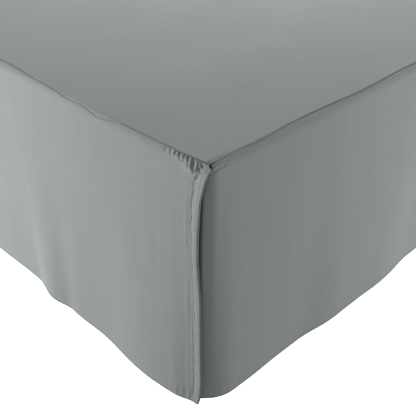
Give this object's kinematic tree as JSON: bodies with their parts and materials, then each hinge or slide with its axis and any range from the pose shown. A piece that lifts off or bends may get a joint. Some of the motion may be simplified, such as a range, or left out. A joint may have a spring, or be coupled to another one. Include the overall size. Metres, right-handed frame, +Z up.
{
  "type": "bed skirt on a box bed base",
  "caption": "Grey cloth bed skirt: a flat deck with drops that hang down both sides and the foot end of a plain white box base, the corners at the foot split and overlapped.",
  "frame": {"origin": "middle of the box base's underside, on the floor", "axes": "+Z up, +Y towards the head end of the bed, +X towards the right-hand side seen from the foot end"},
  "size_m": [1.5571, 2.0493, 0.4201],
  "materials": {
    "skirt_cloth": "plain fine brushed weave, matt, cool mid grey",
    "base_cover": "plain woven cover, matt, warm white"
  },
  "bodies": {
    "root": {"base": "base_cover", "deck": "skirt_cloth", "drop_foot": "skirt_cloth", "drop_right": "skirt_cloth", "drop_left": "skirt_cloth"}
  },
  "joints": []
}
